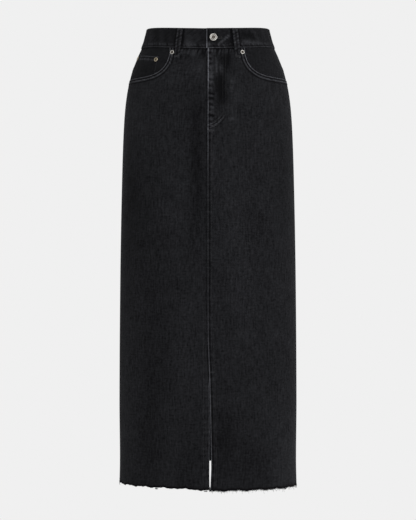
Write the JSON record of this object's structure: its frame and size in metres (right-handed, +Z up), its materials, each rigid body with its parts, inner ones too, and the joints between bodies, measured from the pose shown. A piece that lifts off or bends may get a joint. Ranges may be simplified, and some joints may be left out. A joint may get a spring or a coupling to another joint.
{
  "type": "maxi skirt",
  "caption": "Long straight denim skirt with a high waist, scooped front pockets, lapped button fly, front slit and raw hem, filled out as worn.",
  "frame": {"origin": "middle of the waist, level with the middle of the waistband at centre front", "axes": "+Z up the body, the front faces -Y, the wearer's left side is at +X"},
  "size_m": [0.3852, 0.2596, 0.9975],
  "materials": {
    "washed_denim": "washed black denim, matt twill with fine slubs",
    "dark_denim": "black denim, little washed, matt twill",
    "frayed_yarn": "loose cotton yarns along a raw edge",
    "nickel": "dull nickel, worn bright on the rims",
    "antique_brass": "dull antique brass"
  },
  "bodies": {
    "root": {"waistband": "washed_denim", "front_right": "washed_denim", "front_left": "washed_denim", "yoke_right": "washed_denim", "yoke_left": "washed_denim", "back_right": "washed_denim", "back_left": "washed_denim", "pocket_facing_right": "dark_denim", "pocket_facing_left": "dark_denim", "coin_pocket": "dark_denim", "belt_loop_front_right": "washed_denim", "belt_loop_front_left": "washed_denim", "belt_loop_back_right": "washed_denim", "belt_loop_back_left": "washed_denim", "belt_loop_centre_back": "washed_denim", "button": "nickel", "pocket_rivet_right": "nickel", "pocket_rivet_left": "nickel", "coin_rivet_inner": "antique_brass", "coin_rivet_outer": "antique_brass", "hem_fray_front_right": "frayed_yarn", "hem_fray_front_left": "frayed_yarn", "hem_fray_back_right": "frayed_yarn", "hem_fray_back_left": "frayed_yarn"}
  },
  "joints": []
}
